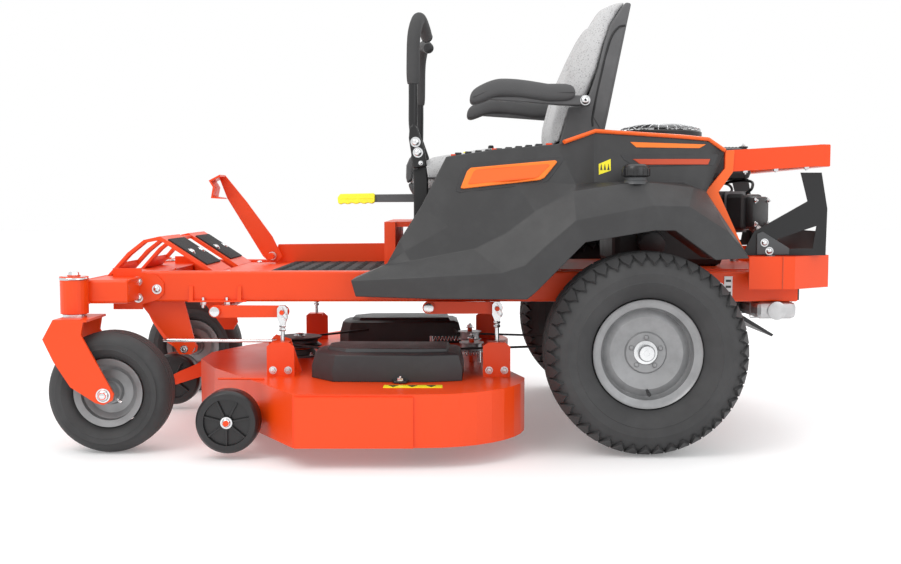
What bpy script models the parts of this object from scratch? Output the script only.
"""Zero turn mower, built as separate sub-parts on one frame.

Metres, +Z up. The mower faces -Y and its left side is +X. The ground is z = 0.
Every sub-part is modelled about the machine's centreline and then carried by
one empty, which puts the middle of the whole machine's footprint at the origin.
"""

import math

import bmesh
import bpy
from mathutils import Matrix, Vector

# ---- driving dimensions -------------------------------------------------
SHIFT_X = 0.127          # the discharge chute makes the right side wider
SHIFT_Y = 0.003
GAP = 0.0004             # between touching sub-parts

RAIL_X = 0.310           # centre of a frame rail
RAIL_WIDE = 0.050
RAIL_LOW, RAIL_TOP = 0.372, 0.453
RAIL_FRONT, RAIL_BACK = -0.860, 0.930

CASTER_X = 0.468
CASTER_R = 0.155
CASTER_WIDE = 0.125
CASTER_HUB = (0.057, 0.0646)     # how far the hub reaches in and out
CASTER_AXLE_Y = -0.868
STEM_Y = -0.961
STEM_R = 0.0165
HEAD_R = 0.035
HEAD_LOW, HEAD_TOP = 0.354, 0.4395

WHEEL_X = 0.474
WHEEL_R = 0.2575
WHEEL_WIDE = 0.200
WHEEL_HUB = (0.030, 0.034)
WHEEL_Y = 0.494

DECK_TOP = 0.181
DECK_LOW = 0.052
DECK_SHEET = 0.005
DECK_SIDE = 0.683
LOBE_X, LOBE_Y = 0.425, -0.065
LOBE_R = DECK_SIDE - LOBE_X
DECK_LIFT = 0.076
SPINDLES = {"left": (LOBE_X, LOBE_Y), "centre": (0.0, -0.450), "right": (-LOBE_X, LOBE_Y)}
PULLEY_R = 0.066
BELT_Z = 0.226
COVER_TOP = 0.2635       # clears the rear lift shaft when the deck is fully raised

LIFT_ARM = 0.181         # pivot to clevis pin
LIFT_X = 0.357
LIFT_BOSS_R = 0.0155
LIFT_PIVOTS = {"front": (-0.6245, 0.348), "rear": (-0.058, 0.358)}
HANGER_X = 0.377

SEAT_X = 0.235           # half the width of the seat
LEVER_X = 0.300
LEVER_PIVOT = (-0.080, 0.600)
LEVER_JOINT = (-0.087, 0.745)
ARM_X = 0.276
ARM_PIVOT = (0.361, 0.910)

SCALP_R = 0.079
SCALP_WHEELS = {"left": (0.562, -0.552, 0.095), "right": (-0.562, -0.552, 0.095),
                "front": (-0.120, -0.851, 0.095)}

PAINTS = {
    "orange": ((0.86, 0.075, 0.002, 1.0), 0.35, 0.0),
    "charcoal": ((0.055, 0.055, 0.058, 1.0), 0.55, 0.0),
    "black": ((0.012, 0.012, 0.013, 1.0), 0.45, 0.0),
    "rubber": ((0.030, 0.030, 0.031, 1.0), 0.85, 0.0),
    "silver": ((0.42, 0.42, 0.43, 1.0), 0.40, 0.6),
    "zinc": ((0.62, 0.63, 0.64, 1.0), 0.30, 1.0),
    "steel": ((0.45, 0.45, 0.45, 1.0), 0.35, 1.0),
    "engine": ((0.018, 0.018, 0.019, 1.0), 0.50, 0.2),
    "fabric": ((0.72, 0.72, 0.72, 1.0), 0.90, 0.0),
    "pad": ((0.080, 0.080, 0.082, 1.0), 0.75, 0.0),
    "yellow": ((0.95, 0.82, 0.03, 1.0), 0.55, 0.0),
}

SIDES = {"left": 1, "right": -1}


# ---- scene and materials ------------------------------------------------
def clear_scene():
    for item in list(bpy.data.objects):
        bpy.data.objects.remove(item, do_unlink=True)


def paint(kind):
    """One Principled material for each finish, made once."""
    found = bpy.data.materials.get(kind)
    if found:
        return found
    colour, rough, metal = PAINTS[kind]
    made = bpy.data.materials.new(kind)
    made.use_nodes = True
    shader = made.node_tree.nodes["Principled BSDF"]
    shader.inputs["Base Color"].default_value = colour
    shader.inputs["Roughness"].default_value = rough
    shader.inputs["Metallic"].default_value = metal
    return made


# ---- meshes -------------------------------------------------------------
def object_from(mesh_builder, name):
    mesh = bpy.data.meshes.new(name)
    bmesh.ops.recalc_face_normals(mesh_builder, faces=mesh_builder.faces)
    mesh_builder.to_mesh(mesh)
    mesh_builder.free()
    made = bpy.data.objects.new(name, mesh)
    bpy.context.collection.objects.link(made)
    return made


def across(axis, u, v, w):
    """A point from in-plane u, v and the distance w along the axis."""
    if axis == "x":
        return (w, u, v)
    if axis == "y":
        return (u, w, v)
    return (u, v, w)


def prism(name, outline, axis, low, high):
    """A closed solid: an outline pushed along an axis."""
    work = bmesh.new()
    ring = [work.verts.new(across(axis, u, v, low)) for u, v in outline]
    face = work.faces.new(ring)
    pushed = bmesh.ops.extrude_face_region(work, geom=[face])
    moved = [item for item in pushed["geom"] if isinstance(item, bmesh.types.BMVert)]
    bmesh.ops.translate(work, verts=moved, vec=Vector(across(axis, 0, 0, high - low)))
    return object_from(work, name)


def block(name, low, high, bevel=0.0):
    """A box from its two corners, with its edges bevelled."""
    work = bmesh.new()
    bmesh.ops.create_cube(work, size=1.0)
    size = Vector(high) - Vector(low)
    middle = (Vector(high) + Vector(low)) / 2
    bmesh.ops.scale(work, vec=size, verts=work.verts)
    bmesh.ops.translate(work, vec=middle, verts=work.verts)
    if bevel:
        bmesh.ops.bevel(work, geom=work.edges[:], offset=bevel, segments=2, affect="EDGES",
                        profile=0.5)
    return object_from(work, name)


def turned(name, profile, axis, centre, sides=32, flat_down=False):
    """A solid of revolution. The profile is (radius, along) points, closed on
    itself; points at radius 0 sit on the axis and become one vertex. With
    flat_down a facet, at the full radius, is the lowest part, as on a tyre."""
    work = bmesh.new()
    phase = 0.5 if flat_down else 0.0
    grow = 1 / math.cos(math.pi / sides) if flat_down else 1.0
    rings = []
    for radius, along in profile:
        if radius < 1e-6:
            rings.append([work.verts.new(across(axis, 0, 0, along))] * sides)
            continue
        ring = []
        for step in range(sides):
            turn = 2 * math.pi * (step + phase) / sides
            reach = radius * grow
            ring.append(work.verts.new(across(axis, reach * math.cos(turn),
                                              reach * math.sin(turn), along)))
        rings.append(ring)
    for one, two in zip(rings, rings[1:] + rings[:1]):
        for step in range(sides):
            after = (step + 1) % sides
            corners = [one[step], one[after], two[after], two[step]]
            kept = list(dict.fromkeys(corners))
            if len(kept) > 2:
                work.faces.new(kept)
    bmesh.ops.translate(work, vec=Vector(centre), verts=work.verts)
    return object_from(work, name)


def rod(name, axis, centre, radius, low, high, sides=20):
    return turned(name, [(0, low), (radius, low), (radius, high), (0, high)], axis, centre, sides)


def swept(name, points, radius, sides=12, flat=1.0):
    """A bent bar: a circle, or an oval where flat is not 1, carried along points."""
    work = bmesh.new()
    places = [Vector(point) for point in points]
    rings = []
    for index, place in enumerate(places):
        before = places[max(index - 1, 0)]
        after = places[min(index + 1, len(places) - 1)]
        forward = (after - before).normalized()
        side = forward.cross(Vector((1, 0, 0)))
        if side.length < 0.2:
            side = forward.cross(Vector((0, 0, 1)))
        side.normalize()
        up = forward.cross(side).normalized()
        ring = []
        for step in range(sides):
            turn = 2 * math.pi * step / sides
            offset = side * math.cos(turn) * radius + up * math.sin(turn) * radius * flat
            ring.append(work.verts.new(place + offset))
        rings.append(ring)
    for one, two in zip(rings, rings[1:]):
        for step in range(sides):
            after = (step + 1) % sides
            work.faces.new([one[step], one[after], two[after], two[step]])
    work.faces.new(rings[0])
    work.faces.new(rings[-1])
    return object_from(work, name)


# ---- booleans and finishing ---------------------------------------------
def cleaned(mesh):
    """Flat faces merged and slivers closed, so that the next boolean is exact."""
    work = bmesh.new()
    work.from_mesh(mesh)
    bmesh.ops.remove_doubles(work, verts=work.verts, dist=0.00002)
    bmesh.ops.dissolve_degenerate(work, edges=work.edges, dist=0.00002)
    bmesh.ops.triangulate(work, faces=work.faces)
    work.to_mesh(mesh)
    work.free()
    return mesh


def combine(target, others, operation="UNION"):
    """Join or cut solids, with the result written into the target's mesh."""
    for other in others:
        step = target.modifiers.new(operation.lower(), "BOOLEAN")
        step.operation = operation
        step.solver = "EXACT"
        step.object = other
    bpy.context.view_layer.update()
    graph = bpy.context.evaluated_depsgraph_get()
    result = bpy.data.meshes.new_from_object(target.evaluated_get(graph))
    target.modifiers.clear()
    target.data = cleaned(result)
    for other in others:
        bpy.data.objects.remove(other, do_unlink=True)
    return target


def cut(target, *tools):
    return combine(target, tools, "DIFFERENCE")


def join(target, *others):
    return combine(target, others, "UNION")


def mirrored(name, source, pivot=(0, 0, 0)):
    """The other side's copy of a finished sub-part."""
    mesh = source.data.copy()
    mesh.transform(Matrix.Translation(source.location))
    mesh.transform(Matrix.Diagonal((-1, 1, 1, 1)))
    mesh.flip_normals()
    made = bpy.data.objects.new(name, mesh)
    bpy.context.collection.objects.link(made)
    mesh.materials.clear()
    return finish(made, source.data.materials[0].name, (-pivot[0], pivot[1], pivot[2]))


def finish(item, kind, pivot=(0, 0, 0)):
    """Gives a sub-part its material, its origin and its smooth shading."""
    mesh = item.data
    mesh.transform(Matrix.Translation(-Vector(pivot)))
    item.location = pivot
    mesh.materials.clear()
    mesh.materials.append(paint(kind))
    mesh.shade_smooth()
    mesh.set_sharp_from_angle(angle=math.radians(35))
    item.parent = bpy.data.objects["machine"]
    return item


def both_sides(stem, source, pivot=(0, 0, 0)):
    """Names a left sub-part and adds its mirror image on the right."""
    source.name = stem + "_left"
    mirrored(stem + "_right", source, pivot)


def arc(centre, radius, start, stop, steps):
    """Points along an arc, angles in degrees."""
    points = []
    for step in range(steps + 1):
        turn = math.radians(start + (stop - start) * step / steps)
        points.append((centre[0] + radius * math.cos(turn), centre[1] + radius * math.sin(turn)))
    return points


def inset(outline, distance):
    """A closed counter-clockwise outline moved inwards by a distance."""
    count = len(outline)
    moved = []
    for index in range(count):
        before = Vector(outline[index - 1])
        here = Vector(outline[index])
        after = Vector(outline[(index + 1) % count])
        one = (here - before).normalized()
        two = (after - here).normalized()
        normal_one = Vector((-one.y, one.x))
        normal_two = Vector((-two.y, two.x))
        middle = (normal_one + normal_two).normalized()
        reach = distance / max(middle.dot(normal_one), 0.3)
        moved.append(tuple(here + middle * reach))
    return moved


# ---- chassis ------------------------------------------------------------
def front_beam():
    """The cross tube with a caster head tube at each end and a rail bracket."""
    beam = block("front_beam", (-0.452, -0.940, 0.377), (0.452, -0.829, 0.438), 0.006)
    for sign in (1, -1):
        head = turned("head", [(STEM_R + 0.001, HEAD_TOP), (STEM_R + 0.001, HEAD_LOW),
                               (HEAD_R, HEAD_LOW), (HEAD_R, HEAD_TOP)], "z",
                      (sign * CASTER_X, STEM_Y, 0), 24)
        bore = rod("bore", "z", (sign * CASTER_X, STEM_Y, 0), STEM_R + 0.001, 0.30, 0.50, 24)
        cut(beam, bore)
        join(beam, head)
        tongue = [(-0.900, 0.352), (-0.822, 0.352), (-0.822, 0.366), (-0.780, 0.378),
                  (-0.765, 0.395), (-0.765, 0.425), (-0.782, 0.443), (-0.824, 0.452),
                  (-0.824, 0.462), (-0.900, 0.462)]
        face = RAIL_X + RAIL_WIDE / 2 + GAP
        ends = sorted((sign * face, sign * (face + 0.006)))
        join(beam, prism("bracket", tongue, "x", ends[0], ends[1]))
    finish(beam, "orange")


def rail():
    """One box section side rail, with the lift stop gussets on its outer face."""
    low = (RAIL_X - RAIL_WIDE / 2, -0.829 + GAP, RAIL_LOW)
    high = (RAIL_X + RAIL_WIDE / 2, RAIL_BACK, RAIL_TOP)
    body = block("rail", low, high, 0.005)
    outer = RAIL_X + RAIL_WIDE / 2
    shelf = block("shelf", (outer - 0.002, -0.700, RAIL_LOW), (outer + 0.0135, -0.545, RAIL_LOW + 0.004))
    join(body, shelf)
    for along in (-0.697, -0.568):
        gusset = [(outer - 0.002, RAIL_LOW + 0.002), (outer + 0.0125, RAIL_LOW + 0.002),
                  (outer + 0.004, RAIL_LOW + 0.042), (outer - 0.002, RAIL_LOW + 0.042)]
        join(body, prism("gusset", gusset, "y", along, along + 0.010))
    trailing = [(-0.845, RAIL_LOW + 0.001), (-0.720, RAIL_LOW + 0.001), (-0.690, 0.250),
                (-0.705, 0.226), (-0.735, 0.226), (-0.760, 0.262)]
    join(body, prism("trailing", trailing, "x", RAIL_X - 0.012, RAIL_X - 0.006))
    finish(body, "orange")
    both_sides("frame_rail", body)


def floor_pan():
    """The foot pan: a sheet between the rails with a raised guard on each edge."""
    inner = RAIL_X - RAIL_WIDE / 2 - GAP
    sheet = block("floor_pan", (-inner, -0.640, 0.440), (inner, -0.150, 0.446))
    for sign in (1, -1):
        ends = sorted((sign * (inner - 0.004), sign * inner))
        join(sheet, block("lip", (ends[0], -0.640, 0.441), (ends[1], -0.150, 0.452)))
    wall = [(-0.560, 0.443), (-0.160, 0.443), (-0.160, 0.508), (-0.548, 0.504)]
    join(sheet, prism("guard", wall, "x", -inner + 0.010, -inner + 0.040))
    join(sheet, block("riser", (-inner + 0.045, -0.180, 0.443), (inner - 0.010, -0.150, 0.584)))
    join(sheet, block("stand", (-0.240, -0.160, 0.570), (0.240, -0.060, 0.584)))
    finish(sheet, "orange")


def footrest():
    """Two sloped foot plates on bent straps above the front beam."""
    inner = RAIL_X - RAIL_WIDE / 2 - 0.012
    outline = [(-0.935, 0.4385), (-0.880, 0.500), (-0.835, 0.535), (-0.790, 0.545), (-0.640, 0.447),
               (-0.6404, 0.441), (-0.650, 0.441), (-0.792, 0.535), (-0.832, 0.527), (-0.874, 0.493),
               (-0.925, 0.4385)]
    body = None
    for low, high in ((-inner, -0.055), (0.055, inner)):
        strap = prism("footrest", outline, "x", low, high)
        strap = cut(strap, block("window", (low + 0.030, -0.905, 0.40), (high - 0.030, -0.812, 0.60)))
        body = strap if body is None else join(body, strap)
    join(body, block("tie", (-0.060, -0.800, 0.529), (0.060, -0.780, 0.538)))
    finish(body, "orange")


def rear_frame():
    """Engine plate, its cross members and the bumper that wraps the rear."""
    inner = RAIL_X - RAIL_WIDE / 2 - GAP
    plate = block("rear_frame", (-inner, 0.300, 0.448), (inner, 0.900, 0.456))
    join(plate, block("cross", (-inner, 0.300, 0.380), (inner, 0.330, 0.450), 0.004))
    join(plate, block("cross", (-inner, 0.860, 0.380), (inner, 0.900, 0.450), 0.004))
    outer = 0.400
    wrap = [(-outer, 0.780), (-outer, 0.900), (-outer + 0.090, 1.017), (outer - 0.090, 1.017),
            (outer, 0.900), (outer, 0.780), (outer - 0.004, 0.780), (outer - 0.004, 0.898),
            (outer - 0.092, 1.013), (-outer + 0.092, 1.013), (-outer + 0.004, 0.898),
            (-outer + 0.004, 0.780)]
    bumper = prism("bumper", wrap, "z", 0.410, 0.496)
    join(plate, bumper)
    for sign in (1, -1):
        ends = sorted((sign * (RAIL_X + RAIL_WIDE / 2 + GAP), sign * (outer - 0.002)))
        join(plate, block("spacer", (ends[0], 0.800, 0.430), (ends[1], 0.840, 0.470)))
        stand = sorted((sign * 0.225, sign * 0.255))
        join(plate, block("strut", (stand[0], 0.880, 0.430), (stand[1], 1.015, 0.450)))
    cut(plate, rod("shaft_hole", "z", (0, 0.617, 0), 0.060, 0.40, 0.50, 28))
    finish(plate, "orange")


def engine_guard():
    """The orange chevron arms each side, joined by the bar behind the engine."""
    chevron = [(0.742, 0.4975), (0.776, 0.4975), (0.700, 0.663), (0.737, 0.716), (0.740, 0.772),
               (0.716, 0.772), (0.716, 0.726), (0.664, 0.663)]
    outer = 0.385
    bar = [(0.715, 0.716), (0.975, 0.732), (0.975, 0.788), (0.715, 0.772)]
    body = None
    for sign in (1, -1):
        ends = sorted((sign * outer, sign * (outer - 0.012)))
        side = join(prism("engine_guard", chevron, "x", ends[0], ends[1]),
                    prism("arm", bar, "x", ends[0] + 0.001, ends[1] - 0.001))
        body = side if body is None else join(body, side)
    join(body, block("back", (-outer + 0.002, 0.962, 0.730), (outer - 0.002, 0.992, 0.788), 0.003))
    finish(body, "orange")


def rear_guard():
    """The black slotted side plates joined under the orange bar."""
    side = [(0.770, 0.4975), (0.990, 0.4975), (0.992, 0.620), (0.975, 0.715), (0.920, 0.715),
            (0.940, 0.640), (0.800, 0.560)]
    window = [(0.855, 0.515), (0.955, 0.515), (0.965, 0.575), (0.860, 0.540)]
    slot = [(0.815, 0.548), (0.900, 0.590), (0.890, 0.604), (0.812, 0.560)]
    body = None
    for sign in (1, -1):
        ends = sorted((sign * 0.362, sign * 0.366))
        plate = prism("rear_guard", side, "x", ends[0], ends[1])
        hole = prism("window", window, "x", ends[0] - 0.01, ends[1] + 0.01)
        plate = cut(plate, hole)
        body = plate if body is None else join(body, plate)
    join(body, block("back", (-0.364, 0.982, 0.500), (0.364, 0.988, 0.560)))
    finish(body, "black")


def rear_flap():
    """The flexible shield that hangs below the rear of the frame."""
    flap = [(0.780, 0.404), (0.800, 0.404), (0.812, 0.325), (0.905, 0.268), (0.900, 0.262),
            (0.800, 0.318)]
    finish(prism("rear_flap", flap, "x", -0.200, 0.200), "rubber")


# ---- power --------------------------------------------------------------
def engine():
    body = block("engine_block", (-0.150, 0.460, 0.4565), (0.150, 0.775, 0.640), 0.020)
    for sign in (1, -1):
        head = block("cylinder", (-0.065, -0.060, -0.050), (0.065, 0.160, 0.050), 0.010)
        head.data.transform(Matrix.Translation((sign * 0.090, 0.720, 0.610))
                            @ Matrix.Rotation(math.radians(-sign * 38), 4, "Z"))
        join(body, head)
    join(body, rod("shroud", "z", (0, 0.617, 0), 0.165, 0.630, 0.775, 20))
    join(body, block("cover", (-0.190, 0.500, 0.700), (0.190, 0.840, 0.790), 0.018))
    join(body, rod("neck", "z", (0, 0.617, 0), 0.100, 0.780, 0.828, 16))
    join(body, rod("pto", "z", (0, 0.617, 0), 0.045, 0.205, 0.470, 16))
    finish(body, "engine")
    screen = turned("intake_screen", [(0, 0.8284), (0.118, 0.8284), (0.120, 0.832), (0.120, 0.860),
                                      (0.114, 0.866), (0, 0.866)], "z", (0, 0, 0), 28)
    screen.data.transform(Matrix.Translation((0, 0.617, 0)))
    finish(screen, "steel", (0, 0.617, 0.845))


def muffler():
    body = block("muffler", (-0.180, 0.815, 0.326), (0.345, 0.925, 0.371), 0.014)
    join(body, block("hanger", (0.010, 0.860, 0.365), (0.050, 0.880, 0.3796)))
    finish(body, "silver")


def transaxle():
    """One hydrostatic drive with its axle, between the rail and the wheel."""
    inner = RAIL_X - RAIL_WIDE / 2 - 0.002
    body = block("hydro", (0.115, 0.420, 0.190), (inner - 0.010, 0.575, 0.368), 0.018)
    join(body, block("gear_case", (inner - 0.060, 0.410, 0.185), (0.352, 0.585, 0.362), 0.012))
    join(body, rod("axle", "x", (0, WHEEL_Y, WHEEL_R), 0.0145, 0.300, 0.520, 20))
    join(body, block("cap", (0.140, 0.440, 0.360), (0.190, 0.480, 0.3715), 0.004))
    finish(body, "engine")
    both_sides("hydro_drive", body)


# ---- wheels -------------------------------------------------------------
def tyre_profile(radius, width, rim):
    """A tyre's closed section: crowned tread, round shoulders, bead at the rim."""
    half = width / 2
    return [(rim + 0.002, -half * 0.62), (rim + 0.012, -half * 0.80),
            ((radius + rim) / 2, -half), (radius - half * 0.28, -half * 0.97),
            (radius - half * 0.07, -half * 0.72), (radius, -half * 0.30), (radius, half * 0.30),
            (radius - half * 0.07, half * 0.72), (radius - half * 0.28, half * 0.97),
            ((radius + rim) / 2, half), (rim + 0.012, half * 0.80), (rim + 0.002, half * 0.62)]


def rim_profile(rim, width, dish, hub, bore, hub_back, hub_face):
    """A steel rim's closed section, from its bore out to the bead flanges."""
    half = width / 2
    return [(bore, -hub_back), (bore, hub_face), (hub, hub_face), (hub + 0.008, dish),
            (rim * 0.62, dish + 0.012), (rim * 0.80, dish - 0.004), (rim - 0.012, dish + 0.004),
            (rim - 0.006, half * 0.60), (rim + 0.010, half * 0.62), (rim + 0.0105, half * 0.55),
            (rim + 0.0015, half * 0.50), (rim + 0.0015, -half * 0.50), (rim + 0.0105, -half * 0.55),
            (rim + 0.010, -half * 0.62), (rim - 0.006, -half * 0.60), (rim - 0.010, -0.010),
            (rim * 0.6, dish - 0.012), (hub, dish - 0.016), (hub, -hub_back)]


def caster():
    """One front caster: fork with its stem and axle, rim and tyre."""
    half = 0.080
    side = [(-0.914, 0.345), (-0.990, 0.345), (-1.017, 0.296), (-0.991, 0.240), (-0.950, 0.176),
            (-0.888, 0.136), (-0.868, 0.131), (-0.846, 0.142), (-0.842, 0.158), (-0.921, 0.306)]
    crown = [(-0.906, 0.345), (-0.990, 0.345), (-1.017, 0.296), (-1.009, 0.296),
             (-0.985, 0.339), (-0.906, 0.339)]
    stem = rod("caster_fork", "z", (CASTER_X, STEM_Y, 0), STEM_R, 0.336, 0.452, 16)
    fork = join(stem, prism("crown", crown, "x", CASTER_X - half, CASTER_X + half),
                rod("collar", "z", (CASTER_X, STEM_Y, 0), 0.028, 0.340, HEAD_LOW - 0.0008, 20),
                rod("cap", "z", (CASTER_X, STEM_Y, 0), 0.036, HEAD_TOP + 0.0008, 0.4485, 20),
                rod("nut", "z", (CASTER_X, STEM_Y, 0), 0.012, 0.4450, 0.4590, 6))
    for low, high in ((half - 0.008, half), (-half, -half + 0.008)):
        join(fork, prism("arm", side, "x", CASTER_X + low, CASTER_X + high))
    axle = rod("axle", "x", (0, CASTER_AXLE_Y, CASTER_R), 0.0095,
               CASTER_X - half - 0.010, CASTER_X + half + 0.010, 20)
    join(fork, axle)
    finish(fork, "orange", (CASTER_X, STEM_Y, 0.395))
    both_sides("caster_fork", fork, (CASTER_X, STEM_Y, 0.395))

    axis = (CASTER_X, CASTER_AXLE_Y, CASTER_R)
    profile = rim_profile(0.078, CASTER_WIDE * 0.86, 0.010, 0.030, 0.0105, *CASTER_HUB)
    rim = turned("caster_rim", profile, "x", axis, 20)
    finish(rim, "silver", axis)
    both_sides("caster_rim", rim, axis)
    tyre = turned("caster_tyre", tyre_profile(CASTER_R, CASTER_WIDE, 0.0890), "x", axis, 32, True)
    finish(tyre, "rubber", axis)
    both_sides("caster_tyre", tyre, axis)


def rear_wheel():
    axis = (WHEEL_X, WHEEL_Y, WHEEL_R)
    profile = rim_profile(0.128, WHEEL_WIDE * 0.95, 0.030, 0.048, 0.0150, *WHEEL_HUB)
    rim = turned("rear_rim", profile, "x", axis, 24)
    finish(rim, "silver", axis)
    both_sides("rear_rim", rim, axis)
    tyre = turned("rear_tyre", tyre_profile(WHEEL_R, WHEEL_WIDE, 0.1390), "x", axis, 40, True)
    finish(tyre, "rubber", axis)
    both_sides("rear_tyre", tyre, axis)


# ---- mower deck ---------------------------------------------------------
def deck_outline():
    """The deck seen from above, counter-clockwise, with a lobe over each outer blade."""
    left = [(0.075, -0.728), (0.250, -0.652), (0.520, -0.476), (DECK_SIDE, -0.377)]
    left += arc((LOBE_X, LOBE_Y), LOBE_R, 0, 90, 9)
    left += [(0.300, 0.160), (0.160, 0.110)]
    return left + [(-x, y) for x, y in reversed(left)]


def deck_shell():
    outline = deck_outline()
    shell = prism("deck_shell", outline, "z", DECK_LOW, DECK_TOP)
    hollow = prism("hollow", inset(outline, DECK_SHEET), "z", DECK_LOW - 0.05, DECK_TOP - DECK_SHEET)
    cut(shell, hollow)
    cut(shell, block("discharge", (-0.75, -0.360, 0.062), (-0.60, -0.010, 0.168)))
    for sign in (1, -1):
        ends = sorted((sign * DECK_SIDE, sign * (DECK_SIDE + 0.006)))
        panel = [(-0.372, DECK_LOW), (-0.089, DECK_LOW), (-0.089, 0.175), (-0.372, 0.175)]
        if sign > 0:
            join(shell, prism("panel", panel, "x", ends[0] - 0.001, ends[1]))
        for along in LIFT_PIVOTS.values():
            join(shell, hanger(sign, along[0] + LIFT_ARM))
        arm = sorted((sign * 0.470, sign * 0.508))
        join(shell, block("scalp_arm", (arm[0], -0.580, 0.075), (arm[1], -0.470, 0.125), 0.004))
        axle = sorted((sign * 0.490, sign * 0.603))
        wheel = SCALP_WHEELS["left"]
        join(shell, rod("scalp_axle", "x", (0, wheel[1], wheel[2]), 0.0075, axle[0], axle[1], 16))
    x, y, z = SCALP_WHEELS["front"]
    for sign in (1, -1):
        ends = sorted((x + sign * 0.037, x + sign * 0.042))
        yoke = [(-0.640, 0.1805), (-0.690, 0.1805), (-0.830, 0.120), (-0.868, 0.100),
                (-0.868, 0.085), (-0.840, 0.080), (-0.715, 0.120), (-0.690, 0.178)]
        bracket = [(a, b + 0.001) for a, b in yoke]
        join(shell, prism("yoke", bracket, "x", ends[0], ends[1]))
    join(shell, rod("front_axle", "x", (0, y, z), 0.0075, x - 0.046, x + 0.046, 16))
    for x, y in SPINDLES.values():
        housing = rod("housing", "z", (x, y, 0), 0.034, 0.130, 0.205, 16)
        join(shell, housing)
        cut(shell, rod("bore", "z", (x, y, 0), 0.0135, 0.10, 0.25, 16))
    for x in (0.138, -0.138):
        join(shell, rod("idler_post", "z", (x, 0.060, 0), 0.0072, DECK_TOP - 0.001, 0.250, 12))
    lug = [(-0.480, 0.180), (-0.400, 0.180), (-0.430, 0.270), (-0.470, 0.282), (-0.490, 0.262)]
    join(shell, prism("rod_lug", lug, "x", 0.316, 0.322))
    finish(shell, "orange", (0, 0, DECK_TOP))


def hanger(sign, along):
    """The deck's upright bracket, folded over at the top for the lift rod."""
    ends = sorted((sign * (HANGER_X - 0.018), sign * (HANGER_X + 0.030)))
    top = DECK_TOP + 0.090
    plate = [(-0.038, DECK_TOP - 0.002), (0.034, DECK_TOP - 0.002), (0.034, top - 0.012),
             (0.020, top), (-0.024, top), (-0.038, top - 0.010)]
    outline = [(along + a, b) for a, b in plate]
    face = sorted((sign * (HANGER_X + 0.025), sign * (HANGER_X + 0.030)))
    body = prism("hanger", outline, "x", face[0], face[1])
    shelf = block("shelf", (ends[0], along - 0.026, top - 0.006), (ends[1] - 0.0005, along + 0.020, top))
    return join(body, shelf)


def belt_cover():
    """The moulded cover over one outer spindle pulley, open underneath."""
    outline = [(0.495, -0.300), (0.505, -0.060), (0.480, 0.030), (0.300, 0.036), (0.285, -0.080),
               (0.285, -0.330), (0.330, -0.362), (0.420, -0.362)]
    cover = prism("belt_cover", outline, "z", DECK_TOP + GAP, COVER_TOP - 0.0085)
    join(cover, prism("top", inset(outline, 0.030), "z", COVER_TOP - 0.0115, COVER_TOP))
    cut(cover, prism("hollow", inset(outline, 0.004), "z", 0.10, COVER_TOP - 0.0140))
    cut(cover, block("belt_gate", (0.250, -0.345, 0.10), (0.308, 0.022, COVER_TOP - 0.0185)))
    cut(cover, block("rear_gate", (0.310, 0.020, 0.10), (0.470, 0.050, 0.2400)))
    finish(cover, "black")
    both_sides("belt_cover", cover)


def blades():
    """Each blade with its shaft and pulley, which turn as one."""
    for name, (x, y) in SPINDLES.items():
        half = 0.222
        bar = block("blade_" + name, (x - half, y - 0.030, 0.088), (x + half, y + 0.030, 0.0935))
        for sign in (1, -1):
            ends = sorted((x + sign * half, x + sign * (half - 0.060)))
            join(bar, block("lift", (ends[0] + 0.0005, y + sign * 0.012 - 0.014, 0.090),
                            (ends[1] - 0.0005, y + sign * 0.012 + 0.014, 0.104)))
        shaft = rod("shaft", "z", (x, y, 0), 0.0120, 0.078, 0.246, 12)
        pulley = turned("pulley", [(0.010, 0.212), (PULLEY_R, 0.212), (PULLEY_R, 0.215),
                                   (PULLEY_R - 0.012, 0.2225), (PULLEY_R - 0.012, 0.2295),
                                   (PULLEY_R, 0.237), (PULLEY_R, 0.240), (0.010, 0.240)],
                        "z", (x, y, 0), 20)
        join(bar, shaft, pulley)
        finish(bar, "steel", (x, y, BELT_Z))


def idlers():
    """The two flat idlers that guide the back of the belt."""
    for name, x in (("left", 0.138), ("right", -0.138)):
        wheel = turned("idler_" + name, [(0.0080, 0.213), (0.036, 0.213), (0.036, 0.215),
                                         (0.030, 0.217), (0.030, 0.235), (0.036, 0.237),
                                         (0.036, 0.239), (0.0080, 0.239)], "z", (x, 0.060, 0), 18)
        finish(wheel, "steel", (x, 0.060, BELT_Z))


def drive_belt():
    """The belt's run over the three deck pulleys and back to the engine."""
    reach = PULLEY_R - 0.0070
    path = arc(SPINDLES["centre"], reach, 227.8, 312.2, 6)
    path += arc(SPINDLES["left"], reach, -47.8, 82.7, 9)
    path += [(0.190, 0.024)]
    path += [(0.062, 0.560)]
    path += arc((0.0, 0.617), 0.0625, 0, 180, 8)
    path += [(-0.062, 0.560), (-0.190, 0.024)]
    path += arc(SPINDLES["right"], reach, 97.3, 227.8, 9)
    outer = inset(path, -0.004)
    inner = inset(path, 0.004)
    body = prism("drive_belt", outer, "z", 0.2232, 0.2288)
    cut(body, prism("inside", inner, "z", 0.20, 0.25))
    finish(body, "rubber")


def chute():
    """The hinged deflector over the side discharge."""
    edge = DECK_SIDE + 0.002
    sheet = [(-edge, 0.186), (-edge - 0.030, 0.186), (-0.943, 0.118), (-0.943, 0.060),
             (-0.939, 0.060), (-0.939, 0.114), (-edge - 0.028, 0.181), (-edge, 0.181)]
    body = prism("discharge_chute", sheet, "y", -0.372, 0.000)
    for low in (-0.372, -0.004):
        cheek = [(-edge - 0.004, 0.182), (-edge - 0.030, 0.182), (-0.941, 0.116),
                 (-0.941, 0.062), (-edge - 0.004, 0.075)]
        join(body, prism("cheek", cheek, "y", low, low + 0.004))
    finish(body, "black", (-edge, -0.185, 0.1835))


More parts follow.
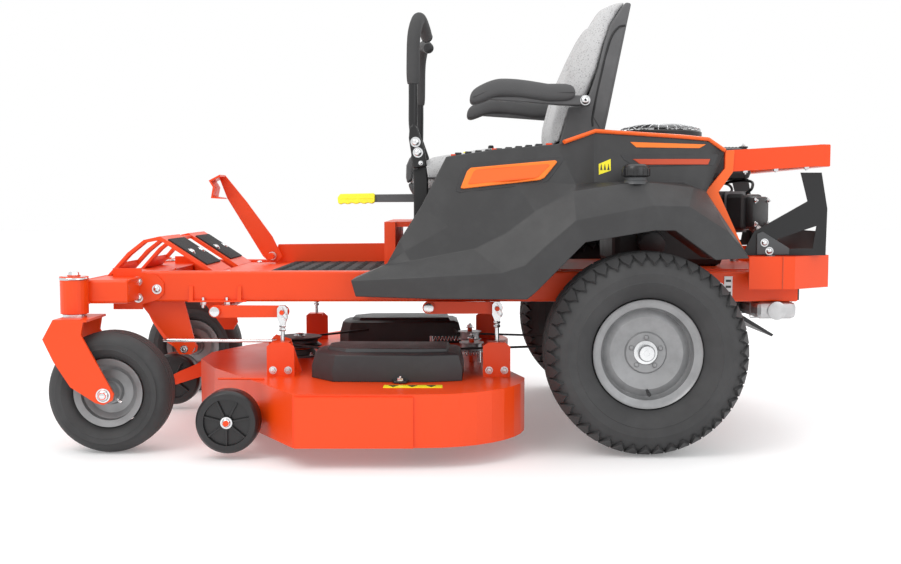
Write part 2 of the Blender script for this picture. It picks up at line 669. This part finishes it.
def scalp_wheels():
    for name, axis in SCALP_WHEELS.items():
        half = 0.031
        profile = [(0.0082, -half), (0.020, -half), (0.056, -half + 0.010), (0.062, -half),
                   (0.070, -half), (SCALP_R, -half + 0.012), (SCALP_R, half - 0.012),
                   (0.070, half), (0.062, half), (0.056, half - 0.010), (0.020, half),
                   (0.0082, half)]
        wheel = turned("scalp_wheel_" + name, profile, "x", axis, 20)
        finish(wheel, "black", axis)


def stabiliser_rod():
    pivot = (0.3255, -0.768, 0.268)
    points = [(0.3046, -0.768, 0.268), (0.3330, -0.768, 0.268), (0.3350, -0.760, 0.268),
              (0.3350, -0.478, 0.2665), (0.3330, -0.470, 0.2665), (0.3226, -0.470, 0.2665)]
    body = swept("stabiliser_rod", points, 0.0045, 10)
    finish(body, "zinc", pivot)


# ---- deck lift ----------------------------------------------------------
def lift_shafts():
    """Front and rear cross shafts, each with an arm outside both rails."""
    for name, (y, z) in LIFT_PIVOTS.items():
        body = rod("lift_shaft_" + name, "x", (0, y, z), 0.0095, -0.3585, 0.3585, 12)
        for sign in (1, -1):
            middle = sign * LIFT_X
            ends = sorted((middle - sign * 0.0045, middle + sign * 0.0045))
            outline = arc((y, z), LIFT_BOSS_R + 0.001, 92, 268, 8) + arc((y + LIFT_ARM, z), 0.0155, -88, 88, 8)
            join(body, prism("arm", outline, "x", ends[0], ends[1]))
            boss = sorted((sign * 0.3515, sign * 0.3702))
            join(body, rod("boss", "x", (0, y, z), LIFT_BOSS_R, boss[0], boss[1], 12))
            pin = sorted((sign * (LIFT_X - 0.0037), sign * 0.3953))
            join(body, rod("pin", "x", (0, y + LIFT_ARM, z), 0.0062, pin[0], pin[1], 10))
        finish(body, "orange", (0, y, z))


def clevises():
    """Each lift rod with its forked end, hung on a lift arm's pin."""
    for name, (y, z) in LIFT_PIVOTS.items():
        along = y + LIFT_ARM
        plate = [(along - 0.013, z - 0.016), (along - 0.006, z - 0.034), (along + 0.006, z - 0.034),
                 (along + 0.013, z - 0.016), (along + 0.013, z + 0.010), (along + 0.007, z + 0.018),
                 (along - 0.007, z + 0.018), (along - 0.013, z + 0.010)]
        body = prism("clevis", plate, "x", HANGER_X - 0.008, HANGER_X + 0.008)
        cut(body, rod("eye", "x", (0, along, z), 0.0068, 0.30, 0.45, 16))
        top = DECK_TOP + 0.0905
        join(body, rod("rod", "z", (HANGER_X, along, 0), 0.0055, top, z - 0.030, 16))
        pivot = (HANGER_X, along, z)
        finish(body, "zinc", pivot)
        body.name = "clevis_" + name + "_left"
        mirrored("clevis_" + name + "_right", body, pivot)


def deck_pedal():
    """The foot pedal that raises the deck, with its folded tread at the top."""
    outline = [(-0.590, 0.468), (-0.572, 0.452), (-0.545, 0.452), (-0.530, 0.468), (-0.560, 0.530),
               (-0.640, 0.640), (-0.706, 0.722), (-0.725, 0.716), (-0.700, 0.650)]
    body = prism("deck_pedal", outline, "x", -0.208, -0.202)
    tread = [(-0.706, 0.722), (-0.740, 0.704), (-0.728, 0.684), (-0.734, 0.650), (-0.700, 0.648),
             (-0.706, 0.652), (-0.728, 0.655), (-0.722, 0.684), (-0.733, 0.702), (-0.704, 0.716)]
    join(body, prism("tread", tread, "x", -0.207, -0.120))
    join(body, rod("pivot", "x", (0, -0.560, 0.470), 0.0100, -0.214, -0.160, 20))
    finish(body, "orange", (-0.205, -0.560, 0.470))


# ---- controls -----------------------------------------------------------
def lap_bars():
    """The steering levers: a pivoted lower lever and the bar that swings out."""
    x = LEVER_X
    y, z = LEVER_PIVOT
    top_y, top_z = LEVER_JOINT
    base = swept("lever_base", [(x, y, z - 0.030), (x, y, z), (x, top_y, top_z - 0.030),
                                (x, top_y, top_z + 0.022)], 0.017, 12, 0.70)
    join(base, rod("pivot", "x", (0, y, z), 0.014, x - 0.045, x + 0.012, 20))
    finish(base, "black", (x, y, z))
    both_sides("lever_base", base, (x, y, z))
    outer = x + 0.0270
    points = [(outer, top_y - 0.002, top_z - 0.022), (outer, top_y - 0.006, top_z + 0.030),
              (outer, top_y - 0.012, 0.830), (outer - 0.002, top_y - 0.012, 1.000),
              (outer - 0.012, top_y - 0.010, 1.075), (outer - 0.040, top_y - 0.002, 1.118),
              (outer - 0.080, top_y + 0.006, 1.130), (outer - 0.215, top_y + 0.020, 1.105)]
    bar = swept("lap_bar", points, 0.0145, 14, 0.95)
    cut(bar, block("trim", (x - 0.05, -0.2, 0.70), (x + 0.0175, 0.05, 0.80)))
    hinge = (x + 0.0180, top_y, top_z - 0.0215)
    finish(bar, "black", hinge)
    both_sides("lap_bar", bar, hinge)


def brake_lever():
    """The parking brake: a flat arm with its moulded grip."""
    arm = block("brake_lever", (0.262, -0.215, 0.637), (0.2685, -0.060, 0.659), 0.002)
    grip = [(-0.307, 0.634), (-0.300, 0.660), (-0.207, 0.661), (-0.205, 0.637), (-0.222, 0.633),
            (-0.240, 0.636), (-0.262, 0.633), (-0.280, 0.636), (-0.298, 0.632)]
    join(arm, prism("grip", grip, "x", 0.2525, 0.2780))
    join(arm, rod("pivot", "x", (0, -0.066, 0.648), 0.016, 0.2460, 0.2690, 20))
    finish(arm, "yellow", (0.265, -0.066, 0.648))


def console_controls():
    lever = block("throttle_lever", (-0.424, 0.128, 0.772), (-0.416, 0.140, 0.812), 0.002)
    join(lever, block("knob", (-0.432, 0.124, 0.805), (-0.408, 0.144, 0.826), 0.005))
    finish(lever, "black", (-0.420, 0.134, 0.775))
    knob = turned("blade_switch", [(0, 0.768), (0.008, 0.768), (0.008, 0.785), (0.019, 0.788),
                                   (0.019, 0.800), (0.014, 0.806), (0, 0.806)],
                  "z", (-0.420, 0.060, 0), 24)
    finish(knob, "yellow", (-0.420, 0.060, 0.785))


# ---- bodywork and seat --------------------------------------------------
def fender():
    """A rear fender with its side console and wheel arch."""
    low = [(-0.2527, 0.438), (-0.242, 0.398), (0.190, 0.396), (0.204, 0.407), (0.271, 0.474),
           (0.334, 0.538), (0.505, 0.570), (0.560, 0.570), (0.660, 0.500), (0.736, 0.500),
           (0.6560, 0.663), (0.708, 0.728), (0.560, 0.742), (0.330, 0.660), (0.100, 0.600),
           (-0.020, 0.520), (-0.162, 0.474), (-0.240, 0.458)]
    body = prism("fender", low, "x", 0.3600, 0.552)
    high = [(-0.162, 0.470), (-0.131, 0.539), (-0.073, 0.630), (-0.011, 0.753), (0.010, 0.765),
            (0.271, 0.786), (0.376, 0.818), (0.671, 0.797), (0.708, 0.770), (0.708, 0.732),
            (0.650, 0.663), (0.600, 0.580), (0.334, 0.545), (0.190, 0.470)]
    join(body, prism("console", high, "x", 0.3610, 0.505))
    inner = [(0.030, 0.480), (0.030, 0.755), (0.271, 0.778), (0.376, 0.808), (0.671, 0.788),
             (0.700, 0.765), (0.700, 0.736), (0.640, 0.660), (0.560, 0.580), (0.560, 0.480)]
    join(body, prism("inner", inner, "x", 0.2640, 0.3640))
    cut(body, block("lift_well", (0.350, -0.110, 0.380), (0.425, 0.170, 0.478)))
    cut(body, block("knob_well", (0.395, 0.045, 0.755), (0.445, 0.150, 0.80)))
    finish(body, "charcoal")
    both_sides("fender", body)
    place = (0.470, 0.470, 0)
    cap = turned("fuel_cap", [(0, 0.7004), (0.030, 0.7004), (0.035, 0.706), (0.035, 0.726),
                              (0.028, 0.736), (0, 0.738)], "z", place, 24)
    fender_left = bpy.data.objects["fender_left"]
    cut(fender_left, block("well", (0.425, 0.420, 0.684), (0.60, 0.520, 0.90)))
    join(fender_left, rod("filler", "z", place, 0.026, 0.670, 0.7000, 24))
    finish_again(fender_left, "charcoal")
    finish(cap, "black", (place[0], place[1], 0.715))


def finish_again(item, kind):
    """Renews a sub-part's material and shading after a later cut."""
    item.data.materials.clear()
    item.data.materials.append(paint(kind))
    item.data.shade_smooth()
    item.data.set_sharp_from_angle(angle=math.radians(35))


def seat():
    """The tilting seat plate, the cushion, the high back and both armrests."""
    plate = block("seat_plate", (-0.255, -0.070, 0.600), (0.255, 0.400, 0.612), 0.003)
    join(plate, rod("hinge", "x", (0, -0.070, 0.600), 0.010, -0.240, 0.240, 16))
    for sign in (1, -1):
        ends = sorted((sign * 0.150, sign * 0.190))
        join(plate, block("runner", (ends[0], -0.030, 0.610), (ends[1], 0.360, 0.6390), 0.003))
    finish(plate, "black", (0, -0.070, 0.600))
    cushion = block("seat_cushion", (-SEAT_X, -0.122, 0.640), (SEAT_X, 0.330, 0.770), 0.035)
    finish(cushion, "fabric")
    outline = [(0.335, 0.680), (0.395, 0.680), (0.405, 0.760), (0.415, 0.930), (0.494, 1.176),
               (0.440, 1.180), (0.375, 1.120), (0.300, 0.960), (0.2815, 0.830), (0.300, 0.776),
               (0.3352, 0.776)]
    back = prism("seat_back", outline, "x", -SEAT_X, SEAT_X)
    join(back, block("mount", (-0.200, 0.3315, 0.650), (0.200, 0.395, 0.700), 0.004))
    finish(back, "charcoal")
    arm = [(0.070, 0.905), (0.045, 0.925), (0.065, 0.950), (0.130, 0.964), (0.310, 0.947),
           (0.335, 0.938), (0.372, 0.926), (0.372, 0.897), (0.300, 0.900), (0.200, 0.908),
           (0.100, 0.912)]
    body = prism("armrest", arm, "x", ARM_X - 0.034, ARM_X + 0.030)
    cut(body, block("trim", (0.20, 0.318, 0.85), (ARM_X - 0.012, 0.45, 1.0)))
    cut(body, block("trim", (0.20, 0.250, 0.80), (ARM_X - 0.032, 0.45, 1.0)))
    join(body, rod("bolt", "x", (0, ARM_PIVOT[0], ARM_PIVOT[1]), 0.011, 0.2365, ARM_X + 0.034, 20))
    pivot = (ARM_X, ARM_PIVOT[0], ARM_PIVOT[1])
    finish(body, "pad", pivot)
    both_sides("armrest", body, pivot)


def build():
    clear_scene()
    carrier = bpy.data.objects.new("machine", None)
    bpy.context.collection.objects.link(carrier)
    front_beam()
    rail()
    floor_pan()
    footrest()
    rear_frame()
    engine_guard()
    rear_guard()
    rear_flap()
    engine()
    muffler()
    transaxle()
    caster()
    rear_wheel()
    deck_shell()
    belt_cover()
    blades()
    idlers()
    drive_belt()
    chute()
    scalp_wheels()
    stabiliser_rod()
    lift_shafts()
    clevises()
    deck_pedal()
    lap_bars()
    brake_lever()
    console_controls()
    fender()
    seat()
    carrier.location = (SHIFT_X, SHIFT_Y, 0)
    bpy.context.view_layer.update()


build()
